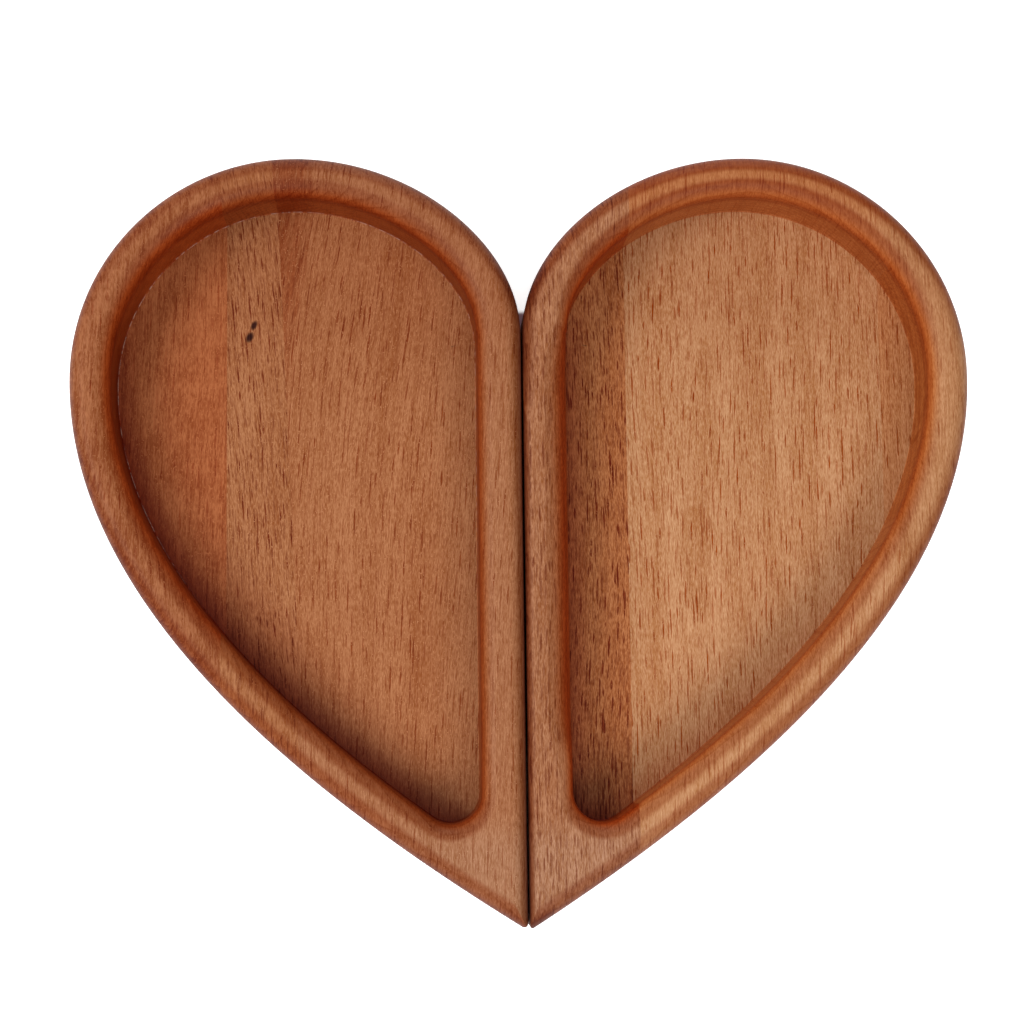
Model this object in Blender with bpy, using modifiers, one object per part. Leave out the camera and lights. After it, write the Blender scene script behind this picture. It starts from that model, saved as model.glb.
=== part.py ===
"""A heart-shaped pair of dishes in edge-glued beech: two half-heart trays side by side.

Metres, +Z up. The origin is the middle of the resting face, +Y points to the lobes, and the two
trays meet at x = 0. Each tray is a panel of three full-thickness staves glued edge to edge. The
panel is cut to its outline, its edges are rounded over, and a flat-bottomed recess is routed out.
"""
import math

import bmesh
import bpy
from mathutils import Vector
from mathutils.geometry import interpolate_bezier

# Driving dimensions, in metres
OVERALL_WIDTH = 0.190
OVERALL_HEIGHT = 0.1626
THICKNESS = 0.020
RECESS_DEPTH = 0.015
OUTER_RIM = 0.0086          # from the outline to the recess wall, round the lobe and the long side
MATING_RIM = 0.0095         # from the mating plane to the recess wall
CORNER_RADIUS = 0.00635     # plan radius that the router bit leaves in the recess's lower corner
RIM_ROLL = 0.004            # rounding of the rim's outer edge and of the recess's mouth
MATING_ROUND = {"left": 0.0036, "right": 0.0020}    # smaller rounding along the mating face
BROAD_ROLL = 0.0085         # broader roll of the right recess along the mating face, which meets
BROAD_ROLL_END = math.radians(66)       # the flat of the rim in a crease
BROAD_ROLL_SIDE = {"left": 0.0, "right": 1.0}
BROAD_ROLL_FROM = -0.048    # the roll is broad between these y, and fades out at both ends
BROAD_ROLL_TO = 0.046
BROAD_ROLL_FADE = 0.014
FOOT_ROUND = 0.0015         # rounding under the tray, round the resting face
GAP = 0.0003                # clearance between the trays, and between glued staves

# Outline of the right tray: knots of a Bezier curve, and how far its handles reach
TIP_Y = -OVERALL_HEIGHT / 2
TOP_Y = OVERALL_HEIGHT / 2
LOBE_TOP_X = 0.0479
WIDEST_Y = 0.0340
SHOULDER_Y = 0.0434
TIP_ANGLE = math.radians(31.9)      # of the long side, above the X axis, where it leaves the tip
TIP_REACH = 0.0480
LONG_SIDE_REACH = 0.0496
UPPER_SIDE_REACH = 0.0271
LOBE_OUTER_REACH = 0.0250
LOBE_INNER_REACH = 0.0254
SHOULDER_REACH = 0.0193

# Glue lines: distance from the mating plane at y = 0, and the line's lean in x per metre of y
LEFT_GLUE_LINES = ((0.0489, 0.044), (0.0631, 0.0))
RIGHT_GLUE_LINES = ((0.0230, 0.0), (0.0787, 0.0))

# Fineness of the curves
LONG_SIDE_STEPS = 26
LOBE_STEPS = 18
CORNER_STEPS = 7
MATING_STEPS = 10
ROLL_STEPS = 5
EDGE_SEGMENTS = 4

CUTTER_MARGIN = 0.002       # how far a cutter runs past what it cuts
CUTTER_REACH = 0.030        # how far the mating cutter reaches off the mating plane
PANEL_OVERRUN = 0.016       # how far the panel runs past the mating plane before it is planed
RUN_ON_REACH = 0.040
SHARP_ANGLE = math.radians(40)
SHADES = {                  # linear colour of each stave
    "left_outer_stave": (0.330, 0.120, 0.050),
    "left_middle_stave": (0.360, 0.150, 0.065),
    "left_inner_stave": (0.400, 0.165, 0.075),
    "right_inner_stave": (0.290, 0.115, 0.050),
    "right_middle_stave": (0.480, 0.225, 0.110),
    "right_outer_stave": (0.370, 0.165, 0.080),
}


def clear_scene():
    """Start from an empty file without closing it."""
    for item in list(bpy.data.objects):
        bpy.data.objects.remove(item, do_unlink=True)


def new_collection(name):
    group = bpy.data.collections.new(name)
    bpy.context.scene.collection.children.link(group)
    return group


def bezier(start, start_handle, end_handle, end, steps):
    """Points along one Bezier span, without its last one."""
    return interpolate_bezier(start, start_handle, end_handle, end, steps + 1)[:-1]


def smoothstep(value):
    value = min(max(value, 0.0), 1.0)
    return value * value * (3.0 - 2.0 * value)


def outline_spans():
    """The right tray's outline, anticlockwise: long side, outer lobe, inner lobe, mating face."""
    face = GAP / 2
    side = OVERALL_WIDTH / 2
    tip = Vector((face, TIP_Y))
    widest = Vector((side, WIDEST_Y))
    top = Vector((LOBE_TOP_X, TOP_Y))
    shoulder = Vector((face, SHOULDER_Y))
    leave_tip = Vector((math.cos(TIP_ANGLE), math.sin(TIP_ANGLE))) * TIP_REACH
    long_side = bezier(tip, tip + leave_tip, widest - Vector((0, LONG_SIDE_REACH)), widest,
                       LONG_SIDE_STEPS)
    outer_lobe = bezier(widest, widest + Vector((0, UPPER_SIDE_REACH)),
                        top + Vector((LOBE_OUTER_REACH, 0)), top, LOBE_STEPS)
    inner_lobe = bezier(top, top - Vector((LOBE_INNER_REACH, 0)),
                        shoulder + Vector((0, SHOULDER_REACH)), shoulder, LOBE_STEPS)
    return long_side, outer_lobe, inner_lobe, [shoulder]


def inward_normals(points):
    """Unit normals that point into an anticlockwise closed outline."""
    normals = []
    for index, point in enumerate(points):
        tangent = (points[(index + 1) % len(points)] - points[index - 1]).normalized()
        normals.append(Vector((-tangent.y, tangent.x)))
    return normals


def recess_plan():
    """Plan of the right tray's recess: the outline moved in, with a round lower corner."""
    long_side, outer_lobe, inner_lobe, mating = outline_spans()
    outline = long_side + outer_lobe + inner_lobe + mating
    normals = inward_normals(outline)
    mating_x = MATING_RIM
    centre_x = mating_x + CORNER_RADIUS

    plan = []
    centre = None
    for index in range(1, len(outline)):
        place = index - len(long_side) - len(outer_lobe)
        share = smoothstep(place / LOBE_STEPS)
        rim = OUTER_RIM + share * (MATING_RIM - OUTER_RIM)
        spot = outline[index] + normals[index] * rim
        deep = spot + normals[index] * CORNER_RADIUS
        if deep.x < centre_x and place < 0:
            last_deep, last_normal = deep, normals[index]
            continue
        if centre is None:
            blend = (centre_x - last_deep.x) / (deep.x - last_deep.x)
            centre = last_deep.lerp(deep, blend)
            outward = -last_normal.lerp(normals[index], blend)
        plan.append(spot)
    plan.pop()
    for step in range(MATING_STEPS):
        y = SHOULDER_Y + (centre.y - SHOULDER_Y) * step / MATING_STEPS
        plan.append(Vector((mating_x, y)))

    end_angle = math.atan2(outward.y, outward.x)
    for step in range(CORNER_STEPS + 1):
        angle = -math.pi + (end_angle + math.pi) * step / CORNER_STEPS
        plan.append(centre + Vector((math.cos(angle), math.sin(angle))) * CORNER_RADIUS)
    return plan


def add_mesh(name, mesh_source, group, sharp=True):
    """Turn a bmesh into an object of the collection, shaded smooth where it is round."""
    bmesh.ops.recalc_face_normals(mesh_source, faces=mesh_source.faces)
    mesh = bpy.data.meshes.new(name)
    mesh_source.to_mesh(mesh)
    mesh_source.free()
    mesh.shade_smooth()
    if sharp:
        mesh.set_sharp_from_angle(angle=SHARP_ANGLE)
    item = bpy.data.objects.new(name, mesh)
    group.objects.link(item)
    return item


def plan_prism(points, low, high):
    """A bmesh prism: the plan polygon raised from low to high."""
    solid = bmesh.new()
    corners = [solid.verts.new((point[0], point[1], low)) for point in points]
    base = solid.faces.new(corners)
    raised = bmesh.ops.extrude_face_region(solid, geom=[base])
    moved = [piece for piece in raised["geom"] if isinstance(piece, bmesh.types.BMVert)]
    bmesh.ops.translate(solid, vec=(0, 0, high - low), verts=moved)
    return solid


def panel_plan():
    """Plan of the glued panel: the outline, run on past the mating plane at both ends."""
    long_side, outer_lobe, inner_lobe, mating = outline_spans()
    along = Vector((math.cos(TIP_ANGLE), math.sin(TIP_ANGLE)))
    past_tip = long_side[0] - along * PANEL_OVERRUN
    shoulder = mating[0]
    inside = Vector((past_tip.x, -shoulder.y))
    run_on = bezier(shoulder, shoulder - Vector((0, RUN_ON_REACH)),
                    inside + Vector((0, RUN_ON_REACH)), inside, LOBE_STEPS)
    return long_side + outer_lobe + inner_lobe + run_on + [inside, past_tip]


def tray_blank(side, sign):
    """The solid panel of one tray, with a bevel weight on each edge that is rounded over."""
    solid = plan_prism([(sign * point.x, point.y) for point in panel_plan()], 0, THICKNESS)
    bmesh.ops.recalc_face_normals(solid, faces=solid.faces)
    weight = solid.edges.layers.float.new("bevel_weight_edge")
    for edge in solid.edges:
        height = (edge.verts[0].co.z + edge.verts[1].co.z) / 2
        if height > THICKNESS * 0.9:
            edge[weight] = 1.0
        elif height < THICKNESS * 0.1:
            edge[weight] = FOOT_ROUND / RIM_ROLL
    mesh = bpy.data.meshes.new(side + "_blank")
    solid.to_mesh(mesh)
    solid.free()
    mesh.shade_smooth()
    mesh.set_sharp_from_angle(angle=SHARP_ANGLE)
    return mesh


def quarter_round(radius):
    """Steps of a quarter circle, as (distance in from one face, distance in from the other)."""
    steps = []
    for step in range(ROLL_STEPS + 1):
        angle = math.radians(90) * step / ROLL_STEPS
        steps.append((radius * (1 - math.sin(angle)), radius * (1 - math.cos(angle))))
    return steps


def mating_cutter(side, sign, group):
    """What is planed off at the mating plane, with coves that leave both edges rounded."""
    face = GAP / 2
    top_round = MATING_ROUND[side]
    profile = [(-CUTTER_REACH, -CUTTER_MARGIN), (face + FOOT_ROUND, -CUTTER_MARGIN)]
    profile += [(face + across, up) for across, up in quarter_round(FOOT_ROUND)]
    profile += [(face + across, THICKNESS - down) for down, across in quarter_round(top_round)]
    profile += [(face + top_round, THICKNESS + CUTTER_MARGIN),
                (-CUTTER_REACH, THICKNESS + CUTTER_MARGIN)]
    reach = OVERALL_HEIGHT / 2 + CUTTER_REACH
    solid = bmesh.new()
    ends = []
    for y in (-reach, reach):
        ends.append([solid.verts.new((sign * x, y, z)) for x, z in profile])
    for index in range(len(profile)):
        following = (index + 1) % len(profile)
        solid.faces.new((ends[0][index], ends[0][following], ends[1][following], ends[1][index]))
    solid.faces.new(ends[0])
    solid.faces.new(ends[1])
    return hide_cutter(add_mesh(side + "_mating_cutter", solid, group))


def mouth_profile(share):
    """The recess's roll as (flare, height) steps, plain at share 0 and broad at share 1."""
    radius = RIM_ROLL + share * (BROAD_ROLL - RIM_ROLL)
    end = math.radians(90) + share * (BROAD_ROLL_END - math.radians(90))
    profile = []
    for step in range(ROLL_STEPS + 1):
        angle = end * step / ROLL_STEPS
        profile.append((radius * (1 - math.cos(angle)),
                        THICKNESS - radius * (math.sin(end) - math.sin(angle))))
    profile.append((profile[-1][0], THICKNESS + CUTTER_MARGIN))
    return profile


def broad_share(side, point):
    """How broad the roll is at a point of the recess's plan, from 0 to 1."""
    if point.x > MATING_RIM + RIM_ROLL:
        return 0.0
    above = smoothstep((point.y - BROAD_ROLL_FROM) / BROAD_ROLL_FADE)
    below = smoothstep((BROAD_ROLL_TO - point.y) / BROAD_ROLL_FADE)
    return BROAD_ROLL_SIDE[side] * above * below


def recess_cutter(side, sign, group):
    """The routed hollow: a straight wall whose mouth flares along the rim's inner roll."""
    plan = recess_plan()
    normals = inward_normals(plan)
    solid = bmesh.new()
    columns = []
    for point, normal in zip(plan, normals):
        column = []
        foot = (0.0, THICKNESS - RECESS_DEPTH)
        for flare, height in (foot, *mouth_profile(broad_share(side, point))):
            spot = point - normal * flare
            column.append(solid.verts.new((sign * spot.x, spot.y, height)))
        columns.append(column)
    for column, following in zip(columns, columns[1:] + columns[:1]):
        for low in range(len(column) - 1):
            solid.faces.new((column[low], following[low], following[low + 1], column[low + 1]))
    solid.faces.new([column[0] for column in columns])
    solid.faces.new([column[-1] for column in columns])
    return hide_cutter(add_mesh(side + "_recess_cutter", solid, group))


def stave_slab(name, sign, near, far, group):
    """The room of one stave: a prism between two glue lines, each (distance, lean)."""
    reach = OVERALL_HEIGHT / 2 + CUTTER_MARGIN
    corners = []
    for (distance, lean), shift in ((near, GAP / 2), (far, -GAP / 2)):
        for y in (-reach, reach):
            corners.append((sign * (distance + shift) - lean * y, y))
    near_low, near_high, far_low, far_high = corners
    solid = plan_prism([near_low, near_high, far_high, far_low],
                       -CUTTER_MARGIN, THICKNESS + CUTTER_MARGIN)
    return hide_cutter(add_mesh(name, solid, group))


def hide_cutter(item):
    item.hide_render = True
    item.display_type = "WIRE"
    return item


def wood(name, colour):
    """Oiled wood in one stave's own shade."""
    material = bpy.data.materials.new(name)
    material.use_nodes = True
    shader = material.node_tree.nodes["Principled BSDF"]
    shader.inputs["Base Color"].default_value = (*colour, 1.0)
    shader.inputs["Roughness"].default_value = 0.42
    shader.inputs["Metallic"].default_value = 0.0
    material.diffuse_color = (*colour, 1.0)
    return material


def add_stave(name, blank, mating, recess, slab, parent, group):
    """One stave: the rounded panel, planed, hollowed, and cut to its room between glue lines."""
    stave = bpy.data.objects.new(name, blank.copy())
    group.objects.link(stave)
    stave.data.materials.append(wood(name, SHADES[name]))
    stave.parent = parent
    stave.matrix_parent_inverse = parent.matrix_world.inverted()

    rounding = stave.modifiers.new("rounded_edges", "BEVEL")
    rounding.limit_method = "WEIGHT"
    rounding.width = RIM_ROLL
    rounding.segments = EDGE_SEGMENTS
    rounding.use_clamp_overlap = False
    for label, operation, cutter in (("mating_face", "DIFFERENCE", mating),
                                     ("recess", "DIFFERENCE", recess),
                                     ("stave", "INTERSECT", slab)):
        cut = stave.modifiers.new(label, "BOOLEAN")
        cut.operation = operation
        cut.solver = "MANIFOLD"
        cut.object = cutter
    return stave


def build_tray(side, sign, glue_lines, staves, parts, cutters):
    """One half-heart tray, as its three staves under one empty."""
    tray = bpy.data.objects.new(side + "_tray", None)
    tray.location = (sign * OVERALL_WIDTH / 4, 0, 0)
    parts.objects.link(tray)
    bpy.context.view_layer.update()

    blank = tray_blank(side, sign)
    mating = mating_cutter(side, sign, cutters)
    recess = recess_cutter(side, sign, cutters)
    mating_edge = (-CUTTER_MARGIN, 0.0)
    outer_edge = (OVERALL_WIDTH / 2 + CUTTER_MARGIN, 0.0)
    lines = (mating_edge, *glue_lines, outer_edge)
    for name, near, far in zip(staves, lines, lines[1:]):
        slab = stave_slab(name + "_room", sign, near, far, cutters)
        add_stave(name, blank, mating, recess, slab, tray, parts)


def main():
    clear_scene()
    parts = new_collection("heart_tray_pair")
    cutters = new_collection("cutters")
    build_tray("left", -1, LEFT_GLUE_LINES,
               ("left_inner_stave", "left_middle_stave", "left_outer_stave"), parts, cutters)
    build_tray("right", 1, RIGHT_GLUE_LINES,
               ("right_inner_stave", "right_middle_stave", "right_outer_stave"), parts, cutters)


main()
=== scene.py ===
"""Looks of a heart-shaped pair of beech trays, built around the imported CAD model.

Each CAD stave is replaced by a finely rounded one of the same size, in a procedural beech of its
own shade. Shapes are in metres: +Y points to the lobes, and the trays meet at x = 0. Sizes and
places in the beech itself are in mm.
"""
import math
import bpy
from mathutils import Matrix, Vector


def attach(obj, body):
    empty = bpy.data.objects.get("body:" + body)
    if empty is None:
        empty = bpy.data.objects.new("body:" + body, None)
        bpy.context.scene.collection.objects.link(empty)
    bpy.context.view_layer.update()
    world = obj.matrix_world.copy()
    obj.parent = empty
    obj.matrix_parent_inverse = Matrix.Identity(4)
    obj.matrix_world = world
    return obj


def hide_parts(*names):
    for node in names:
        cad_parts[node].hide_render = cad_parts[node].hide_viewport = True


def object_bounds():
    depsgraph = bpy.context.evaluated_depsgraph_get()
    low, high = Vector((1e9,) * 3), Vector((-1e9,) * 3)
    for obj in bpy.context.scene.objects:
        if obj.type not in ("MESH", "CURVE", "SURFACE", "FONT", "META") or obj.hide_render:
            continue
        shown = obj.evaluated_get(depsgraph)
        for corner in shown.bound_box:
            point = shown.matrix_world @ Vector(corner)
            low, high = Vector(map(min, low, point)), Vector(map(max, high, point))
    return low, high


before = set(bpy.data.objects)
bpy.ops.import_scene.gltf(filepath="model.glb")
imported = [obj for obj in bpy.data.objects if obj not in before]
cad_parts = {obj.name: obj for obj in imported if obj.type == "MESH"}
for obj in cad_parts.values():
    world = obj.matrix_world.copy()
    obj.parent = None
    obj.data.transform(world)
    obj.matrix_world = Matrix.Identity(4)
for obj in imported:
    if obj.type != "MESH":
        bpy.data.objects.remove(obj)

from types import SimpleNamespace

import bmesh
import bpy
from mathutils import Matrix, Vector
from mathutils.geometry import interpolate_bezier
from mathutils.kdtree import KDTree

CAD_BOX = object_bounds()

# Overall size, from the frame
OVERALL_WIDTH = CAD_BOX[1].x - CAD_BOX[0].x
OVERALL_HEIGHT = CAD_BOX[1].y - CAD_BOX[0].y
THICKNESS = CAD_BOX[1].z - CAD_BOX[0].z

# Design of one tray
RECESS_DEPTH = 0.015
OUTER_RIM = 0.0086
MATING_RIM = 0.0095
CORNER_RADIUS = 0.00635
RIM_ROLL = 0.004
FOOT_ROUND = 0.0015
FLOOR_FILLET = 0.0003
SEAM_GAP = 0.0004
MATING_ROUND = {"left": 0.0036, "right": 0.0020}

# The right tray's roll along the mating face is broader, and meets the rim's flat in a crease
BROAD_ROLL = 0.0085
BROAD_ROLL_END = math.radians(66)
BROAD_ROLL_SIDE = {"left": 0.0, "right": 1.0}
BROAD_ROLL_FROM = -0.048
BROAD_ROLL_TO = 0.046
BROAD_ROLL_FADE = 0.014

# The tip is worn down by two small facets, which face this way, turned a little to each side
BLUNT_TIP = {"left": 0.0009, "right": 0.0006}
TIP_HEADING = math.radians(-119)
TIP_FACET_TURN = math.radians(16)

# Outline of a right tray: its corners, and how far each Bezier span's handles reach
TIP_Y = -OVERALL_HEIGHT / 2
TOP_Y = OVERALL_HEIGHT / 2
LOBE_TOP_X = 0.0479
WIDEST_Y = 0.0340
SHOULDER_Y = 0.0434
TIP_ANGLE = math.radians(31.9)
TIP_REACH = 0.0480
LONG_SIDE_REACH = 0.0496
UPPER_SIDE_REACH = 0.0271
LOBE_OUTER_REACH = 0.0250
LOBE_INNER_REACH = 0.0254
SHOULDER_REACH = 0.0193
RUN_ON_REACH = 0.040

# Glue lines: distance from the mating plane at y = 0, and the line's lean in x per metre of y
LEFT_GLUE_LINES = ((0.0489, 0.044), (0.0631, 0.0))
RIGHT_GLUE_LINES = ((0.0230, 0.0), (0.0787, 0.0))

# Routed surfaces reach this far out from the recess's plan, and end over this width
ROUTED_REACH = 0.0052
ROUTED_FADE = 0.0008

# Painted shade at the foot of the routed walls, most on the walls that face +Y and a little +X
CORNER_SHADE_REACH = 0.0052
CORNER_SHADE_RISE = 0.90
CORNER_SHADE_FACING = Vector((0.55, 0.83))
CORNER_SHADE_SPREAD = 0.15
CORNER_SHADE_POWER = 0.8

# Fineness of the meshes
LONG_SIDE_STEPS = 110
LOBE_STEPS = 72
CORNER_STEPS = 24
MATING_STEPS = 60
ROLL_STEPS = 12
FILLET_STEPS = 3
EDGE_SEGMENTS = 12
FOOT_RINGS = 4
CUTTER_MARGIN = 0.002
CUTTER_REACH = 0.030
PANEL_OVERRUN = 0.016
CLOSEST_CORNERS = 0.0004
MERGE_DISTANCE = 1e-6
CUT_DISTANCE = 1e-7
SHARP_ANGLE = math.radians(18)
QUARTER = math.radians(90)

# Sizes of the wood's patterns in mm. Those on the grain go across, along and out of it.
SWAY_SIZE = (34, 90, 40)
WIGGLE_SIZE = (2.5, 7, 4)
RING_DRIFT_SIZE = (18, 60, 12)
PORE_SIZE = (0.15, 1.1, 0.7)
FIBRE_SIZE = (0.36, 12, 2.5)
BAND_SIZE = (5, 70, 5)
STREAK_SIZE = (0.9, 14, 3)
MOTTLE_SIZE = (4, 6, 4)
CLOUD_SIZE = (25, 40, 25)
SPECK_SIZE = (0.24, 0.4, 0.4)
DUST_PATCH_SIZE = (1.2, 1.6, 30)
SEED_ALONG = 1.7
SHORTEST_FLECK = 0.5
LONGEST_FLECK = 1.9
FLECK_LENGTH_POWER = 1.5
FAINTEST_FLECK = 0.25
FLECK_DEPTH_POWER = 1.4
FLECK_EDGE = (0.0, 0.35)
FINE_FLECK_SCALE = 0.55
FINE_FLECK_WIDTH = 0.72
FINE_FLECK_LENGTH = 0.64
FINE_FLECK_SEED = 31

# How strongly the patterns bend one another, and where those that fade in begin and end
SWAY = 7.0
WIGGLE_ACROSS = 0.5
WIGGLE_OUTWARD = 0.8
RING_DRIFT = 5.0
LATE_POWER = 4.0
LATE_END = (1.0, 0.94)
LATE_ON_FLATS = 0.5
LATE_ON_SLOPES = 0.8
PLUME_WIGGLE = 4.0
PLUME_FIBRES = 9.0
PLUME_STREAKS = 2.6
PLUME_MEAN = 0.85
SPOT_WIGGLE = 0.6
SPECK_RANGE = (0.20, 0.30)
DUST_PATCHES = (-0.10, 0.16)

# Patterns that act on the colour's tone and on the roughness, and the height of each in the relief
TONE_PATTERNS = ("pores", "fibres", "bands", "mottle", "cloud")
ROUGH_PATTERNS = ("fleck", "fibres", "cloud")
ROUGHNESS_SPREAD = 0.12
RELIEF = {"fleck": -0.5, "pores": 0.35, "fibres": 0.3, "mottle": 0.6, "cloud": 3.0}

# Where the wood's colour changes, painted light and shade included, in mm: the place where a
# change starts, then where it is complete
RIM_HEIGHTS = (7.0, 18.0)
CALM_HEIGHTS = (14.0, 19.0)
# A darker band on the routed wall where it meets the roll
ROLL_BAND_FROM = (13.0, 15.5)
ROLL_BAND_TO = (18.6, 17.0)
TIP_SPAN = (-56.0, -66.0)
# Painted shade on the rim at the top of the lobes, over this span
TOP_SPAN = (60.0, 74.0)
CROWN_SPAN = (20.0, 62.0)
END_GRAIN_SPAN = (-20.0, 20.0)
MATING_EDGE_SPAN = (6.0, 4.0)
# Painted shade on the floor along the recess's lower long side: its inward direction, span and
# heights
HEEL_DIRECTION = (0.728, 0.685)
HEEL_SPAN = (-43.0, -55.0)
HEEL_HEIGHTS = (9.0, 5.5)
PLUME_LEAN = -0.13
PLUME_EDGE = (-52.6, -56.4)
PLUME_SPAN = (16.0, 55.0)
DUST_FROM = (5.02, 5.07)
DUST_TO = (5.34, 5.26)
DUST_SPAN = (-20.0, 10.0)
SPOT_LEAN = 0.3
SPOT_EDGE = (1.5, 0.1)

# The same for the upward part of the surface's normal, or its part along the grain
SLOPING = (1.0, 0.7)
MATING_EDGE_SLOPE = (0.99, 0.7)
OUTER_EDGE_SLOPE = (0.85, 0.1)
OUTER_WALL_SLOPE = (0.0, 0.2)
END_GRAIN_FACING = (0.02, 0.30)

# What the colour is multiplied by
# The rim near the tip is paler still: partly pale worn wood, partly painted light
TIP_COLOUR_AND_LIGHT = (1.05, 1.20, 1.38)
CROWN_TINT = (0.92, 0.84, 0.80)
# Painted shade on the floor along the recess's lower long side
HEEL_SHADE_TINT = (0.84, 0.64, 0.56)
# A darker band on the routed wall where it meets the roll
ROLL_BAND_TINT = (0.80, 0.60, 0.50)
# Painted shade at the foot of the routed walls
CORNER_SHADE_TINT = (0.50, 0.16, 0.06)
END_GRAIN_TINT = (0.66, 0.40, 0.26)
# Painted shade with a purplish painted reflection on the outer roll
OUTER_EDGE_SHADE_TINT = (0.63, 0.43, 0.50)
PLUME_TINT = (0.70, 0.42, 0.26)
SPOT_TINT = (0.10, 0.05, 0.06)

DUST_COLOUR = (0.42, 0.29, 0.23)
LOWER_END_GRAIN = 0.8
STEEP_FLECKS = 0.3
MEAN_ROUGHNESS = 0.44
SPECULAR_LEVEL = 0.06
BUMP_STRENGTH = 0.5
BUMP_DISTANCE = 0.00006

# A stave's look: how the grain lies, the sizes of its flecks, its colours, how strong each
# pattern is, and how strong each change of colour is, painted light and shade among them
COMMON_LOOK = {
    "tilt": 0.0, "lean": 0.0, "bend": 0.0, "pith": (0.0, -60.0), "ring": 1.7,
    "cell": (1.25, 8.0, 12.0), "fleck_width": 0.40, "fleck_length": 6.0,
    "fleck_tint": (0.56, 0.20, 0.03), "rim_colour_and_light": (1.0, 1.0, 1.0), "top_shade": (1.0, 1.0, 1.0),
    "wall_colour_and_shade": (0.92, 0.52, 0.28), "mating_oil_and_shade": (0.8, 0.68, 0.6),
    "fleck": 1.0, "fine_fleck": 0.5, "late": 0.5, "pores": 2.2, "fibres": 1.2, "bands": 0.7,
    "mottle": 0.4, "cloud": 0.4, "specks": 0.4, "roll": 0.45, "rim_calm": 0.28,
    "end_grain": 1.0, "end_wall": 0.2, "crown": 1.0, "heel_shade": 0.0, "plume": 0.0, "dust": 0.0,
    "spots": (),
}
LOOKS = {
    "left_inner_stave": {
        "seed": 11.0, "pale": (0.320, 0.133, 0.058), "dark": (0.185, 0.051, 0.013),
        "lean": 0.07, "bend": 0.0005, "pith": (-10.0, -45.0),
        "cell": (1.5, 9.0, 12.0), "fleck_width": 0.42, "fleck_length": 6.5,
        "fleck_tint": (0.56, 0.26, 0.10), "rim_colour_and_light": (0.96, 1.01, 1.12),
        "fleck": 0.9, "specks": 0.9, "rim_calm": 0.15,
        "end_grain": 0.62, "end_wall": 0.35, "heel_shade": 0.6, "plume": 0.8, "dust": 0.35,
    },
    "left_middle_stave": {
        "seed": 23.0, "pale": (0.326, 0.141, 0.062), "dark": (0.179, 0.049, 0.012),
        "lean": -0.05, "bend": -0.0008, "cell": (0.95, 6.4, 12.0), "fleck_length": 4.6,
        "fleck_tint": (0.42, 0.14, 0.04), "specks": 0.7,
        "end_grain": 0.62, "end_wall": 0.35, "heel_shade": 1.0, "dust": 0.35,
        "spots": ((-57.3, 47.6, 1.3, 2.2), (-58.2, 45.0, 1.6, 2.4)),
    },
    "left_outer_stave": {
        "seed": 37.0, "pale": (0.288, 0.089, 0.031), "dark": (0.173, 0.036, 0.008),
        "tilt": 0.5, "rim_colour_and_light": (0.92, 1.10, 1.30), "wall_colour_and_shade": (1.0, 0.58, 0.30),
        "fleck": 0.55, "fine_fleck": 0.4, "pores": 2.4, "fibres": 1.7, "bands": 0.4,
        "mottle": 1.6, "specks": 1.2, "roll": 0.55, "rim_calm": 0.0,
        "end_grain": 0.62, "crown": 0.0, "heel_shade": 0.3, "dust": 0.5,
    },
    "right_inner_stave": {
        "seed": 41.0, "pale": (0.358, 0.137, 0.051), "dark": (0.197, 0.048, 0.010),
        "cell": (0.92, 6.2, 12.0), "fleck_width": 0.46, "fleck_length": 4.8,
        "fleck_tint": (0.36, 0.09, 0.01), "rim_colour_and_light": (0.94, 1.15, 1.60),
        "wall_colour_and_shade": (1.0, 0.50, 0.24), "mating_oil_and_shade": (0.6, 0.4, 0.3),
        "pores": 2.8, "rim_calm": 0.30, "crown": 0.0,
    },
    "right_middle_stave": {
        "seed": 53.0, "pale": (0.423, 0.227, 0.116), "dark": (0.263, 0.098, 0.032),
        "pith": (45.0, -60.0), "wall_colour_and_shade": (1.08, 0.69, 0.41), "top_shade": (0.94, 0.78, 0.65),
    },
    "right_outer_stave": {
        "seed": 67.0, "pale": (0.415, 0.193, 0.086), "dark": (0.249, 0.079, 0.022),
        "cell": (1.6, 7.4, 12.0), "fleck_tint": (0.55, 0.25, 0.08),
        "rim_colour_and_light": (0.94, 1.04, 1.15), "wall_colour_and_shade": (1.08, 0.73, 0.42),
    },
}

# Camera: place in metres, turns in degrees about X, Y and Z
CAMERA_LENS = 77.34
CAMERA_PLACE = (-0.0219, -0.0476, 0.4746)
CAMERA_TURN = (6.585, -2.412, -0.430)
CAMERA_NEAREST = 0.01

# Softboxes: name, heading anticlockwise from +X and height above the horizon in degrees, watts
LIGHT_DISTANCE = 1.2
SOFTBOX_SIZE = 0.50
SOFTBOXES = (
    ("left_softbox", 185, 46, 10.2),
    ("lower_right_softbox", 305, 45, 7.2),
    ("lower_softbox", 270, 45, 5.4),
    ("upper_left_softbox", 135, 45, 3.1),
    ("upper_softbox", 85, 20, 5.2),
    ("overhead_softbox", 0, 90, 3.1),
)
WORLD_STRENGTH = 0.08

# White paper that glows, except at the bottom of the narrow notch between the standing trays
FLOOR_SIZE = 3.0
FLOOR_DROP = 0.0002
PAPER_COLOUR = (0.9, 0.9, 0.9)
PAPER_ROUGHNESS = 0.9
PAPER_GLOW = 0.60
NOTCH_SHADE = (0.35, 0.20, 0.24)
NOTCH_SIDE = (0.0080, 0.0060)
NOTCH_TOP = (0.0520, 0.0508)
NOTCH_BOTTOM = (-0.0500, -0.0400)
NOTCH_DEPTH = 0.03
NOTCH_OPENNESS = (0.50, 0.36)
NOTCH_RAYS = 8


def smoothstep(value):
    value = min(max(value, 0.0), 1.0)
    return value * value * (3.0 - 2.0 * value)


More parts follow.
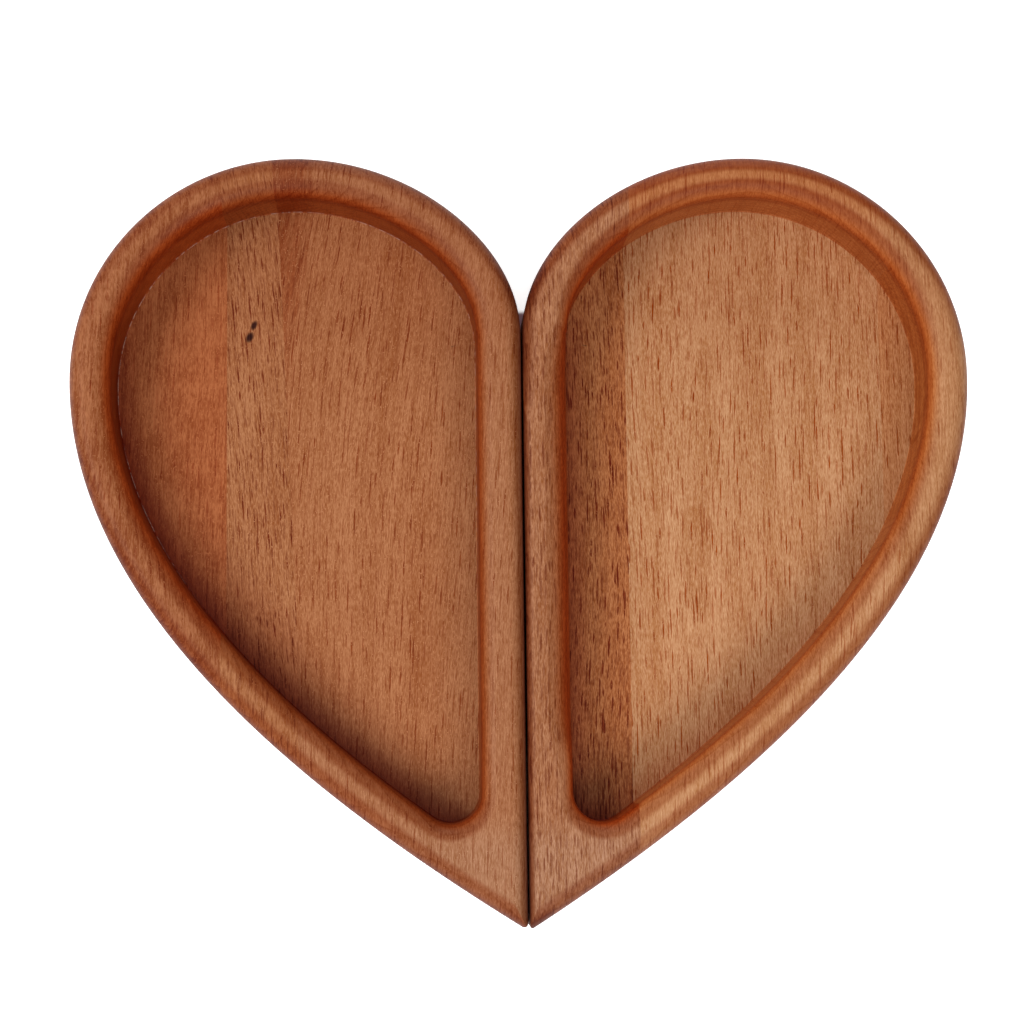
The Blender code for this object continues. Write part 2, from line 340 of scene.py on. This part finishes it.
def quarter_round(steps):
    """Angles from 0 to 90 degrees, both included."""
    return [QUARTER * step / steps for step in range(steps + 1)]


def bezier(start, start_handle, end_handle, end, steps):
    """Points along one Bezier span, without its last one."""
    return interpolate_bezier(start, start_handle, end_handle, end, steps + 1)[:-1]


def outline_spans():
    """A right tray's outline, anticlockwise: long side, outer lobe, inner lobe, mating face."""
    face = SEAM_GAP / 2
    tip = Vector((face, TIP_Y))
    widest = Vector((OVERALL_WIDTH / 2, WIDEST_Y))
    top = Vector((LOBE_TOP_X, TOP_Y))
    shoulder = Vector((face, SHOULDER_Y))
    leave_tip = Vector((math.cos(TIP_ANGLE), math.sin(TIP_ANGLE))) * TIP_REACH
    long_side = bezier(tip, tip + leave_tip, widest - Vector((0, LONG_SIDE_REACH)), widest,
                       LONG_SIDE_STEPS)
    outer_lobe = bezier(widest, widest + Vector((0, UPPER_SIDE_REACH)),
                        top + Vector((LOBE_OUTER_REACH, 0)), top, LOBE_STEPS)
    inner_lobe = bezier(top, top - Vector((LOBE_INNER_REACH, 0)),
                        shoulder + Vector((0, SHOULDER_REACH)), shoulder, LOBE_STEPS)
    return long_side, outer_lobe, inner_lobe, [shoulder]


def inward_normals(points):
    """Unit normals that point into an anticlockwise closed outline."""
    normals = []
    for index, point in enumerate(points):
        tangent = (points[(index + 1) % len(points)] - points[index - 1]).normalized()
        normals.append(Vector((-tangent.y, tangent.x)))
    return normals


def recess_plan():
    """Plan of a right tray's recess: the outline moved in, with a round lower corner."""
    long_side, outer_lobe, inner_lobe, mating = outline_spans()
    outline = long_side + outer_lobe + inner_lobe + mating
    normals = inward_normals(outline)
    centre_x = MATING_RIM + CORNER_RADIUS

    plan = []
    centre = None
    for index in range(1, len(outline)):
        place = index - len(long_side) - len(outer_lobe)
        share = smoothstep(place / LOBE_STEPS)
        rim = OUTER_RIM + share * (MATING_RIM - OUTER_RIM)
        spot = outline[index] + normals[index] * rim
        deep = spot + normals[index] * CORNER_RADIUS
        if deep.x < centre_x and place < 0:
            last_deep = deep
            last_normal = normals[index]
            continue
        if centre is None:
            blend = (centre_x - last_deep.x) / (deep.x - last_deep.x)
            centre = last_deep.lerp(deep, blend)
            outward = -last_normal.lerp(normals[index], blend)
        plan.append(spot)
    plan.pop()
    for step in range(MATING_STEPS):
        y = SHOULDER_Y + (centre.y - SHOULDER_Y) * step / MATING_STEPS
        plan.append(Vector((MATING_RIM, y)))

    end_angle = math.atan2(outward.y, outward.x)
    for step in range(CORNER_STEPS + 1):
        angle = -math.pi + (end_angle + math.pi) * step / CORNER_STEPS
        plan.append(centre + Vector((math.cos(angle), math.sin(angle))) * CORNER_RADIUS)
    if (plan[-1] - plan[0]).length < CLOSEST_CORNERS:
        plan.pop()
    return plan


def new_object(name, solid):
    """Turn a bmesh into an object of the scene."""
    bmesh.ops.recalc_face_normals(solid, faces=solid.faces)
    mesh = bpy.data.meshes.new(name)
    solid.to_mesh(mesh)
    solid.free()
    item = bpy.data.objects.new(name, mesh)
    bpy.context.scene.collection.objects.link(item)
    return item


def plan_prism(points, low, high):
    """A bmesh prism: the plan polygon raised from low to high."""
    solid = bmesh.new()
    corners = [solid.verts.new((point[0], point[1], low)) for point in points]
    base = solid.faces.new(corners)
    raised = bmesh.ops.extrude_face_region(solid, geom=[base])
    moved = [piece for piece in raised["geom"] if isinstance(piece, bmesh.types.BMVert)]
    bmesh.ops.translate(solid, vec=(0, 0, high - low), verts=moved)
    return solid


def panel_plan():
    """Plan of the glued panel: the outline, run on past the mating plane at both ends."""
    long_side, outer_lobe, inner_lobe, mating = outline_spans()
    along = Vector((math.cos(TIP_ANGLE), math.sin(TIP_ANGLE)))
    past_tip = long_side[0] - along * PANEL_OVERRUN
    shoulder = mating[0]
    inside = Vector((past_tip.x, -shoulder.y))
    run_on = bezier(shoulder, shoulder - Vector((0, RUN_ON_REACH)),
                    inside + Vector((0, RUN_ON_REACH)), inside, LOBE_STEPS)
    return long_side + outer_lobe + inner_lobe + run_on + [inside, past_tip]


def tray_blank(side, sign):
    """One tray's solid panel with its edges rounded over, before the other cuts."""
    solid = plan_prism([(sign * point.x, point.y) for point in panel_plan()], 0, THICKNESS)
    weight = solid.edges.layers.float.new("bevel_weight_edge")
    for edge in solid.edges:
        low, high = sorted(corner.co.z for corner in edge.verts)
        if low > THICKNESS / 2:
            edge[weight] = 1.0
        elif high < THICKNESS / 2:
            edge[weight] = FOOT_ROUND / RIM_ROLL
    blank = new_object(side + "_blank", solid)
    rounding = blank.modifiers.new("rounded_edges", "BEVEL")
    rounding.limit_method = "WEIGHT"
    rounding.width = RIM_ROLL
    rounding.segments = EDGE_SEGMENTS
    rounding.use_clamp_overlap = False
    return blank


def mating_cutter(side, sign):
    """What is planed off at the mating plane, with a cove that leaves the edges rounded."""
    face = SEAM_GAP / 2
    top_round = MATING_ROUND[side]
    profile = [(-CUTTER_REACH, -CUTTER_MARGIN), (face + FOOT_ROUND, -CUTTER_MARGIN)]
    for angle in quarter_round(ROLL_STEPS):
        profile.append((face + FOOT_ROUND * (1 - math.sin(angle)),
                        FOOT_ROUND * (1 - math.cos(angle))))
    for angle in quarter_round(ROLL_STEPS):
        profile.append((face + top_round * (1 - math.cos(angle)),
                        THICKNESS - top_round * (1 - math.sin(angle))))
    profile += [(face + top_round, THICKNESS + CUTTER_MARGIN),
                (-CUTTER_REACH, THICKNESS + CUTTER_MARGIN)]
    solid = bmesh.new()
    ends = []
    for y in (-CUTTER_REACH - OVERALL_HEIGHT / 2, CUTTER_REACH + OVERALL_HEIGHT / 2):
        ends.append([solid.verts.new((sign * x, y, z)) for x, z in profile])
    for index in range(len(profile)):
        following = (index + 1) % len(profile)
        solid.faces.new((ends[0][index], ends[0][following], ends[1][following], ends[1][index]))
    solid.faces.new(ends[0])
    solid.faces.new(ends[1])
    return new_object(side + "_mating_cutter", solid)


def foot_profile():
    """The recess's foot as (flare, height) steps: rings on the floor, then the small fillet."""
    floor = THICKNESS - RECESS_DEPTH
    profile = [(-CORNER_SHADE_REACH * (1 - ring / FOOT_RINGS), floor)
               for ring in range(FOOT_RINGS)]
    for angle in quarter_round(FILLET_STEPS):
        profile.append((-FLOOR_FILLET * (1 - math.sin(angle)),
                        floor + FLOOR_FILLET * (1 - math.cos(angle))))
    return profile


def mouth_profile(share):
    """The recess's roll as (flare, height) steps, plain at share 0 and broad at share 1."""
    radius = RIM_ROLL + share * (BROAD_ROLL - RIM_ROLL)
    end = QUARTER + share * (BROAD_ROLL_END - QUARTER)
    profile = []
    for step in range(ROLL_STEPS + 1):
        angle = end * step / ROLL_STEPS
        profile.append((radius * (1 - math.cos(angle)),
                        THICKNESS - radius * (math.sin(end) - math.sin(angle))))
    profile.append((profile[-1][0], THICKNESS + CUTTER_MARGIN))
    return profile


def broad_share(side, point):
    """How broad the roll is at a point of the recess's plan, from 0 to 1."""
    if point.x > MATING_RIM + RIM_ROLL:
        return 0.0
    above = smoothstep((point.y - BROAD_ROLL_FROM) / BROAD_ROLL_FADE)
    below = smoothstep((BROAD_ROLL_TO - point.y) / BROAD_ROLL_FADE)
    return BROAD_ROLL_SIDE[side] * above * below


def recess_cutter(side, sign):
    """The routed hollow: fillet at the floor, straight wall, and a mouth flared along the roll."""
    plan = recess_plan()
    foot = foot_profile()
    solid = bmesh.new()
    columns = []
    for point, normal in zip(plan, inward_normals(plan)):
        column = []
        for flare, height in foot + mouth_profile(broad_share(side, point)):
            spot = point - normal * flare
            column.append(solid.verts.new((sign * spot.x, spot.y, height)))
        columns.append(column)
    for column, following in zip(columns, columns[1:] + columns[:1]):
        for low in range(len(column) - 1):
            solid.faces.new((column[low], following[low], following[low + 1], column[low + 1]))
    solid.faces.new([column[0] for column in columns])
    solid.faces.new([column[-1] for column in columns])
    return new_object(side + "_recess", solid)


def routed_panel(side, sign):
    """A bmesh of the whole tray, rounded, planed at the mating plane, and hollowed."""
    blank = tray_blank(side, sign)
    cutters = (mating_cutter(side, sign), recess_cutter(side, sign))
    for cutter in cutters:
        cut = blank.modifiers.new(cutter.name, "BOOLEAN")
        cut.operation = "DIFFERENCE"
        cut.solver = "MANIFOLD"
        cut.object = cutter
    graph = bpy.context.evaluated_depsgraph_get()
    mesh = bpy.data.meshes.new_from_object(blank.evaluated_get(graph))
    panel = bmesh.new()
    panel.from_mesh(mesh)
    for item in (blank, *cutters):
        bpy.data.objects.remove(item, do_unlink=True)
    bpy.data.meshes.remove(mesh)
    bmesh.ops.remove_doubles(panel, verts=panel.verts, dist=MERGE_DISTANCE)
    return panel


def cut_at(solid, point, outward):
    """Saw off what lies beyond a plane, and close the sawn face."""
    geometry = solid.verts[:] + solid.edges[:] + solid.faces[:]
    cut = bmesh.ops.bisect_plane(solid, geom=geometry, dist=CUT_DISTANCE, plane_co=point,
                                 plane_no=outward, clear_outer=True)
    rim = [piece for piece in cut["geom_cut"] if isinstance(piece, bmesh.types.BMEdge)]
    bmesh.ops.edgeloop_fill(solid, edges=rim)


def blunt_tip(solid, sign, depth):
    """Wear the tray's sharp tip down in two small facets."""
    tip = Vector((sign * SEAM_GAP / 2, TIP_Y, 0))
    for heading in (TIP_HEADING - TIP_FACET_TURN, TIP_HEADING + TIP_FACET_TURN):
        outward = Vector((sign * math.cos(heading), math.sin(heading), 0))
        cut_at(solid, tip - outward * depth, outward)


def mark_routed(solid, sign):
    """Two vertex attributes: routed is 1 on the recess and its roll, and shade grows towards
    the foot of the recess's walls."""
    plan = recess_plan()
    normals = inward_normals(plan)
    nearest = KDTree(len(plan))
    for index, point in enumerate(plan):
        nearest.insert((point.x, point.y, 0), index)
    nearest.balance()
    routed = solid.verts.layers.float.new("routed")
    shade = solid.verts.layers.float.new("shade")
    floor = THICKNESS - RECESS_DEPTH
    for corner in solid.verts:
        spot = Vector((sign * corner.co.x, corner.co.y, 0))
        _, index, _ = nearest.find(spot)
        outside = (plan[index] - spot.to_2d()).dot(normals[index])
        corner[routed] = smoothstep((ROUTED_REACH + ROUTED_FADE - outside) / ROUTED_FADE)
        if corner.co.z <= floor - CUTTER_MARGIN:
            continue
        facing = Vector((sign * normals[index].x, normals[index].y))
        weight = smoothstep(facing.dot(CORNER_SHADE_FACING) + CORNER_SHADE_SPREAD)
        away = max(-outside, 0.0) + CORNER_SHADE_RISE * max(corner.co.z - floor, 0.0)
        near = max(1.0 - away / CORNER_SHADE_REACH, 0.0)
        corner[shade] = weight * near ** CORNER_SHADE_POWER


def make_stave(name, panel, side, sign, near, far):
    """One stave, sawn from its tray's panel at the glue lines on its two sides."""
    solid = panel.copy()
    for line, facing in ((near, -1), (far, 1)):
        if line is None:
            continue
        distance, lean = line
        outward = Vector((1, lean, 0)).normalized() * (sign * facing)
        cut_at(solid, Vector((sign * distance, 0, 0)), outward)
    if near is None:
        blunt_tip(solid, sign, BLUNT_TIP[side])
    mark_routed(solid, sign)
    stave = new_object(name + "_wood", solid)
    stave.data.shade_smooth()
    stave.data.set_sharp_from_angle(angle=SHARP_ANGLE)
    flats = stave.modifiers.new("flat_faces", "WEIGHTED_NORMAL")
    flats.keep_sharp = True
    stave.data.materials.append(beech(name.replace("stave", "beech"), COMMON_LOOK | LOOKS[name]))
    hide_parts(name)
    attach(stave, side + "_tray")


def make_tray(side, sign, glue_lines):
    """The three staves of one tray, from the mating face outwards."""
    panel = routed_panel(side, sign)
    lines = (None, *glue_lines, None)
    for place, near, far in zip(("inner", "middle", "outer"), lines, lines[1:]):
        make_stave(side + "_" + place + "_stave", panel, side, sign, near, far)
    panel.free()


class Graph:
    """Adds nodes to one material's tree. Each method returns the new node's output socket."""

    def __init__(self, tree):
        self.tree = tree

    def add(self, kind, inputs, output=0, **settings):
        node = self.tree.nodes.new("ShaderNode" + kind)
        for setting, value in settings.items():
            setattr(node, setting, value)
        for key, value in inputs.items():
            if isinstance(value, bpy.types.NodeSocket):
                self.tree.links.new(value, node.inputs[key])
            else:
                node.inputs[key].default_value = value
        return node.outputs[output]

    def math(self, operation, *values):
        return self.add("Math", dict(enumerate(values)), operation=operation)

    def vector(self, operation, *values):
        return self.add("VectorMath", dict(enumerate(values)), operation=operation)

    def split(self, vector):
        self.add("SeparateXYZ", {0: vector})
        return self.tree.nodes[-1].outputs[:]

    def join(self, x, y, z):
        return self.add("CombineXYZ", {0: x, 1: y, 2: z})

    def attribute(self, name):
        return self.add("Attribute", {}, output="Fac", attribute_name=name)

    def noise(self, place, size, detail=2.0, roughness=0.5):
        """Noise about 0, with grains of the given size in mm along each axis."""
        scaled = self.vector("DIVIDE", place, size)
        raw = self.add("TexNoise", {"Vector": scaled, "Scale": 1.0, "Detail": detail,
                                    "Roughness": roughness})
        return self.math("SUBTRACT", raw, 0.5)

    def ramp(self, value, low, high):
        """0 below low, 1 above high, smooth between them. Low may be the larger."""
        return self.add("MapRange", {"Value": value, "From Min": low, "From Max": high},
                        interpolation_type="SMOOTHSTEP")

    def product(self, first, *others):
        for value in others:
            first = self.math("MULTIPLY", first, value)
        return first

    def scaled_sum(self, *terms):
        """Sum of value * factor over the (value, factor) terms."""
        total = 0.0
        for value, factor in terms:
            total = self.math("MULTIPLY_ADD", value, factor, total)
        return total

    def rest(self, value):
        """What value leaves of 1."""
        return self.math("SUBTRACT", 1.0, value)

    def mix(self, share, first, second, blend="MIX"):
        return self.add("Mix", {0: share, 6: first, 7: second}, output=2,
                        data_type="RGBA", blend_type=blend)

    def tinted(self, share, colour, tint):
        """The colour, multiplied by the tint as far as share says."""
        return self.mix(share, colour, (*tint, 1), "MULTIPLY")


def ray_flecks(graph, grain, cell, width, length, seed):
    """The ends of the wood's rays: 1 inside each lens-shaped fleck, 0 between them."""
    scaled = graph.vector("DIVIDE", graph.vector("ADD", grain, (seed, seed, seed)), cell)
    centre = graph.add("TexVoronoi", {"Vector": scaled, "Scale": 1.0}, output="Position")
    random = graph.split(graph.add("TexWhiteNoise", {"Vector": centre}, output="Color"))
    away = graph.vector("MULTIPLY", graph.vector("SUBTRACT", scaled, centre), cell)
    across, along, _ = graph.split(away)
    reach = graph.math("POWER", random[0], FLECK_LENGTH_POWER)
    reach = graph.math("MULTIPLY_ADD", reach, (LONGEST_FLECK - SHORTEST_FLECK) * length / 2,
                       SHORTEST_FLECK * length / 2)
    along = graph.math("DIVIDE", graph.math("ABSOLUTE", along), reach)
    along = graph.math("POWER", along, 2.0)
    across = graph.math("DIVIDE", graph.math("ABSOLUTE", across), width / 2)
    lens = graph.math("SUBTRACT", graph.rest(along), across)
    lens = graph.ramp(lens, *FLECK_EDGE)
    depth = graph.math("POWER", random[1], FLECK_DEPTH_POWER)
    depth = graph.math("MULTIPLY_ADD", depth, 1.0 - FAINTEST_FLECK, FAINTEST_FLECK)
    return graph.math("MULTIPLY", lens, depth)


def growth_rings(graph, look, wood):
    """Dark late wood at the end of each ring round the pith, plainest on sloping surfaces."""
    from_pith = graph.math("SUBTRACT", wood.across, look["pith"][0])
    height = graph.math("SUBTRACT", wood.z, look["pith"][1])
    radius = graph.math("SQRT", graph.math("ADD", graph.product(from_pith, from_pith),
                                           graph.product(height, height)))
    drift = graph.noise(wood.shifted, RING_DRIFT_SIZE)
    ring = graph.math("DIVIDE", graph.scaled_sum((radius, 1.0), (drift, RING_DRIFT)),
                      look["ring"])
    ring = graph.math("FRACT", ring)
    late = graph.product(graph.math("POWER", ring, LATE_POWER), graph.ramp(ring, *LATE_END))
    slope = graph.ramp(wood.facing[2], *SLOPING)
    return graph.product(late, graph.math("MULTIPLY_ADD", slope, LATE_ON_SLOPES, LATE_ON_FLATS))


def wood_fields(graph, look):
    """What the colour and the relief are worked out from, as sockets of the material's tree."""
    wood = SimpleNamespace()
    place = graph.vector("MULTIPLY", graph.add("TexCoord", {}, output="Object"), (1000,) * 3)
    seed = look["seed"]
    wood.facing = graph.split(graph.add("TexCoord", {}, output="Normal"))
    wood.shifted = graph.vector("ADD", place, (seed, seed * SEED_ALONG, 0))
    wood.x, wood.y, wood.z = graph.split(place)
    wood.routed = graph.attribute("routed")
    wood.shade = graph.attribute("shade")
    wood.steep = graph.product(graph.ramp(wood.facing[2], 1.0, look["roll"]), wood.routed)

    # Grain directions: across the rays, along the fibres, and out from the pith
    sway = graph.noise(wood.shifted, SWAY_SIZE, 1.0)
    wood.wiggle = graph.noise(wood.shifted, WIGGLE_SIZE)
    wood.across = graph.scaled_sum((wood.x, math.cos(look["tilt"])),
                                   (wood.z, -math.sin(look["tilt"])),
                                   (wood.y, -look["lean"]),
                                   (graph.product(wood.y, wood.y), -look["bend"]),
                                   (sway, SWAY), (wood.wiggle, WIGGLE_ACROSS))
    outward = graph.scaled_sum((wood.x, math.sin(look["tilt"])),
                               (wood.z, math.cos(look["tilt"])), (wood.wiggle, WIGGLE_OUTWARD))
    wood.grain = graph.join(wood.across, wood.y, outward)

    wood.late = growth_rings(graph, look, wood)
    wood.pores = graph.noise(wood.grain, PORE_SIZE, 1.0, 0.6)
    wood.fibres = graph.noise(wood.grain, FIBRE_SIZE, 3.0, 0.6)
    wood.bands = graph.noise(wood.grain, BAND_SIZE)
    wood.mottle = graph.noise(wood.shifted, MOTTLE_SIZE, 3.0, 0.6)
    wood.cloud = graph.noise(wood.shifted, CLOUD_SIZE, 1.0)
    wood.calm = graph.math("MULTIPLY_ADD", graph.ramp(wood.z, *CALM_HEIGHTS),
                           -look["rim_calm"], 1.0)

    flecks = ray_flecks(graph, wood.grain, look["cell"], look["fleck_width"],
                        look["fleck_length"], seed)
    fine_cell = tuple(size * FINE_FLECK_SCALE for size in look["cell"])
    fine_flecks = ray_flecks(graph, wood.grain, fine_cell, look["fleck_width"] * FINE_FLECK_WIDTH,
                             look["fleck_length"] * FINE_FLECK_LENGTH, seed + FINE_FLECK_SEED)
    fleck = graph.scaled_sum((flecks, look["fleck"]), (fine_flecks, look["fine_fleck"]))
    wood.fleck = graph.product(graph.math("MINIMUM", fleck, 1.0),
                               graph.math("MULTIPLY_ADD", wood.steep, STEEP_FLECKS - 1.0, 1.0),
                               wood.calm)
    return wood


def sawn_colour(graph, look, wood):
    """The wood's own colour: its tone, its flecks, the plume by the glue line, and specks."""
    tone = graph.scaled_sum((wood.late, -look["late"]),
                            *((getattr(wood, pattern), look[pattern])
                              for pattern in TONE_PATTERNS))
    tone = graph.math("MULTIPLY_ADD", tone, wood.calm, 0.5)
    colour = graph.mix(tone, (*look["dark"], 1), (*look["pale"], 1))
    colour = graph.tinted(wood.fleck, colour, look["fleck_tint"])
    if look["plume"]:
        edge = graph.scaled_sum((wood.x, 1.0), (wood.y, PLUME_LEAN), (wood.wiggle, PLUME_WIGGLE),
                                (wood.fibres, PLUME_FIBRES))
        streaks = graph.noise(wood.grain, STREAK_SIZE, 2.0, 0.6)
        plume = graph.product(graph.ramp(edge, *PLUME_EDGE), graph.ramp(wood.y, *PLUME_SPAN),
                              graph.math("MULTIPLY_ADD", streaks, PLUME_STREAKS, PLUME_MEAN))
        plume = graph.math("MINIMUM", graph.math("MAXIMUM", plume, 0.0), 1.0)
        colour = graph.tinted(graph.product(plume, look["plume"]), colour, PLUME_TINT)
    specks = graph.ramp(graph.noise(wood.shifted, SPECK_SIZE, 0.0), *SPECK_RANGE)
    return graph.mix(graph.product(specks, look["specks"]), colour, (*look["pale"], 1))


def worked_and_shaded_colour(graph, look, wood, colour):
    """What making the tray did, with painted light and shade: a rim paler partly from sanding and
    partly from painted light, routed walls darker partly from painted shade, oiled end grain, an
    oiled mating edge with painted shade, and painted shade at the walls' foot, on the floor's
    lower side, at the rim's top and on the outer edge.
    """
    x, y, z = wood.x, wood.y, wood.z
    outside = graph.rest(wood.routed)
    # The rim is paler: partly the sanded wood, partly painted light on the top surfaces
    rim = graph.product(graph.ramp(z, *RIM_HEIGHTS), graph.rest(wood.steep))
    # A darker band on the routed wall where it meets the roll
    roll_band = graph.product(graph.ramp(z, *ROLL_BAND_FROM), graph.ramp(z, *ROLL_BAND_TO), wood.steep)
    # Painted shade on the floor along the recess's lower long side
    inward = graph.scaled_sum((x, HEEL_DIRECTION[0]), (y, HEEL_DIRECTION[1]))
    heel_shade = graph.product(graph.ramp(inward, *HEEL_SPAN), graph.ramp(z, *HEEL_HEIGHTS),
                         wood.routed, look["heel_shade"])
    end_grain = graph.ramp(graph.math("ABSOLUTE", wood.facing[1]), *END_GRAIN_FACING)
    end_grain = graph.product(
        end_grain, graph.math("MULTIPLY_ADD", wood.steep, look["end_wall"] - 1.0, 1.0),
        graph.math("MULTIPLY_ADD", graph.ramp(y, *END_GRAIN_SPAN),
                   look["end_grain"] - LOWER_END_GRAIN, LOWER_END_GRAIN))
    # The mating roundover is darker: partly oil soaked into the edge, partly painted shade
    mating_edge = graph.product(graph.ramp(wood.facing[2], *MATING_EDGE_SLOPE),
                                graph.ramp(graph.math("ABSOLUTE", x), *MATING_EDGE_SPAN), outside)
    # Painted shade with a purplish painted reflection on the outer roll, where it turns down to
    # the outer wall
    outer_edge_shade = graph.product(graph.ramp(wood.facing[2], *OUTER_EDGE_SLOPE),
                               graph.ramp(wood.facing[2], *OUTER_WALL_SLOPE), outside)
    for share, tint in (
            (rim, look["rim_colour_and_light"]),
            (graph.product(graph.ramp(y, *TIP_SPAN), rim), TIP_COLOUR_AND_LIGHT),
            # Routed walls are darker and redder: partly the routed wood's own colour, partly
            # painted shade
            (wood.steep, look["wall_colour_and_shade"]),
            (roll_band, ROLL_BAND_TINT),
            # Painted shade at the foot of the routed walls
            (wood.shade, CORNER_SHADE_TINT),
            (heel_shade, HEEL_SHADE_TINT),
            (graph.product(graph.ramp(y, *CROWN_SPAN), look["crown"]), CROWN_TINT),
            # Painted shade on the rim at the top of the lobes
            (graph.product(graph.ramp(y, *TOP_SPAN), rim), look["top_shade"]),
            (end_grain, END_GRAIN_TINT),
            (mating_edge, look["mating_oil_and_shade"]),
            (outer_edge_shade, OUTER_EDGE_SHADE_TINT)):
        colour = graph.tinted(share, colour, tint)
    return colour


def spotted_colour(graph, look, wood, colour):
    """Dark mineral spots: each has a place, a width and a length, and leans a little."""
    sheared = graph.scaled_sum((wood.x, 1.0), (wood.y, -SPOT_LEAN), (wood.wiggle, SPOT_WIGGLE))
    for spot_x, spot_y, width, length in look["spots"]:
        away_x = graph.math("SUBTRACT", sheared, spot_x - SPOT_LEAN * spot_y)
        away_x = graph.math("DIVIDE", away_x, width / 2)
        away_y = graph.math("DIVIDE", graph.math("SUBTRACT", wood.y, spot_y), length / 2)
        away = graph.math("ADD", graph.product(away_x, away_x), graph.product(away_y, away_y))
        colour = graph.tinted(graph.ramp(away, *SPOT_EDGE), colour, SPOT_TINT)
    return colour


def dusty_colour(graph, look, wood, colour):
    """A broken line of pale sanding dust in the corner where the floor meets the wall."""
    patchy = graph.ramp(graph.noise(wood.shifted, DUST_PATCH_SIZE, 3.0, 0.7), *DUST_PATCHES)
    dust = graph.product(graph.ramp(wood.z, *DUST_FROM), graph.ramp(wood.z, *DUST_TO),
                         graph.ramp(wood.y, *DUST_SPAN), wood.routed, patchy, look["dust"])
    return graph.mix(dust, colour, (*DUST_COLOUR, 1))


def beech(name, look):
    """Oiled beech. Sizes are in mm, with x across the staves, y along the grain and z up."""
    material = bpy.data.materials.new(name)
    material.use_nodes = True
    graph = Graph(material.node_tree)
    wood = wood_fields(graph, look)
    colour = sawn_colour(graph, look, wood)
    colour = worked_and_shaded_colour(graph, look, wood, colour)
    colour = spotted_colour(graph, look, wood, colour)
    if look["dust"]:
        colour = dusty_colour(graph, look, wood, colour)

    rough = graph.scaled_sum(*((getattr(wood, pattern), ROUGHNESS_SPREAD)
                               for pattern in ROUGH_PATTERNS))
    rough = graph.math("ADD", rough, MEAN_ROUGHNESS)
    relief = graph.scaled_sum(*((getattr(wood, pattern), rise)
                                for pattern, rise in RELIEF.items()))
    bump = graph.add("Bump", {"Height": relief, "Strength": BUMP_STRENGTH,
                              "Distance": BUMP_DISTANCE})

    shader = material.node_tree.nodes["Principled BSDF"]
    shader.inputs["Specular IOR Level"].default_value = SPECULAR_LEVEL
    links = material.node_tree.links
    links.new(colour, shader.inputs["Base Color"])
    links.new(rough, shader.inputs["Roughness"])
    links.new(bump, shader.inputs["Normal"])
    return material


def add_camera():
    """Almost straight down, a little towards the tip and to the left."""
    data = bpy.data.cameras.new("camera")
    data.lens = CAMERA_LENS
    data.clip_start = CAMERA_NEAREST
    camera = bpy.data.objects.new("camera", data)
    pitch, yaw, roll = (math.radians(angle) for angle in CAMERA_TURN)
    turn = (Matrix.Rotation(pitch, 4, "X") @ Matrix.Rotation(yaw, 4, "Y")
            @ Matrix.Rotation(roll, 4, "Z"))
    camera.matrix_world = Matrix.Translation(CAMERA_PLACE) @ turn
    bpy.context.scene.collection.objects.link(camera)
    bpy.context.scene.camera = camera


def add_softbox(name, heading, height, watts):
    """A square area light, aimed at the trays."""
    heading = math.radians(heading)
    height = math.radians(height)
    direction = Vector((math.cos(height) * math.cos(heading),
                        math.cos(height) * math.sin(heading), math.sin(height)))
    data = bpy.data.lights.new(name, "AREA")
    data.shape = "SQUARE"
    data.size = SOFTBOX_SIZE
    data.energy = watts
    light = bpy.data.objects.new(name, data)
    light.location = direction * LIGHT_DISTANCE
    light.rotation_mode = "QUATERNION"
    light.rotation_quaternion = direction.to_track_quat("Z", "Y")
    bpy.context.scene.collection.objects.link(light)


def white_paper():
    """Glowing paper, darker where the notch between the standing trays keeps the light out."""
    material = bpy.data.materials.new("white_paper")
    material.use_nodes = True
    graph = Graph(material.node_tree)
    x, y, _ = graph.split(graph.add("TexCoord", {}, output="Object"))
    openness = graph.add("AmbientOcclusion", {"Distance": NOTCH_DEPTH}, output="AO",
                         samples=NOTCH_RAYS)
    shade = graph.product(graph.ramp(graph.math("ABSOLUTE", x), *NOTCH_SIDE),
                          graph.ramp(y, *NOTCH_TOP), graph.ramp(y, *NOTCH_BOTTOM),
                          graph.ramp(openness, *NOTCH_OPENNESS))
    lit = graph.rest(shade)
    paper = graph.mix(lit, (*NOTCH_SHADE, 1), (*PAPER_COLOUR, 1))
    glow = graph.math("MULTIPLY", lit, PAPER_GLOW)

    shader = material.node_tree.nodes["Principled BSDF"]
    shader.inputs["Roughness"].default_value = PAPER_ROUGHNESS
    shader.inputs["Emission Color"].default_value = (1, 1, 1, 1)
    material.node_tree.links.new(paper, shader.inputs["Base Color"])
    material.node_tree.links.new(glow, shader.inputs["Emission Strength"])
    return material


def add_floor():
    solid = bmesh.new()
    bmesh.ops.create_grid(solid, x_segments=1, y_segments=1, size=FLOOR_SIZE)
    floor = new_object("studio_floor", solid)
    floor.location.z = -FLOOR_DROP
    floor.data.materials.append(white_paper())


def add_world():
    world = bpy.data.worlds.new("studio")
    world.use_nodes = True
    background = world.node_tree.nodes["Background"]
    background.inputs["Color"].default_value = (1, 1, 1, 1)
    background.inputs["Strength"].default_value = WORLD_STRENGTH
    bpy.context.scene.world = world


make_tray("left", -1, LEFT_GLUE_LINES)
make_tray("right", 1, RIGHT_GLUE_LINES)
add_camera()
add_floor()
add_world()
for softbox in SOFTBOXES:
    add_softbox(*softbox)
bpy.context.scene.view_settings.view_transform = "Standard"
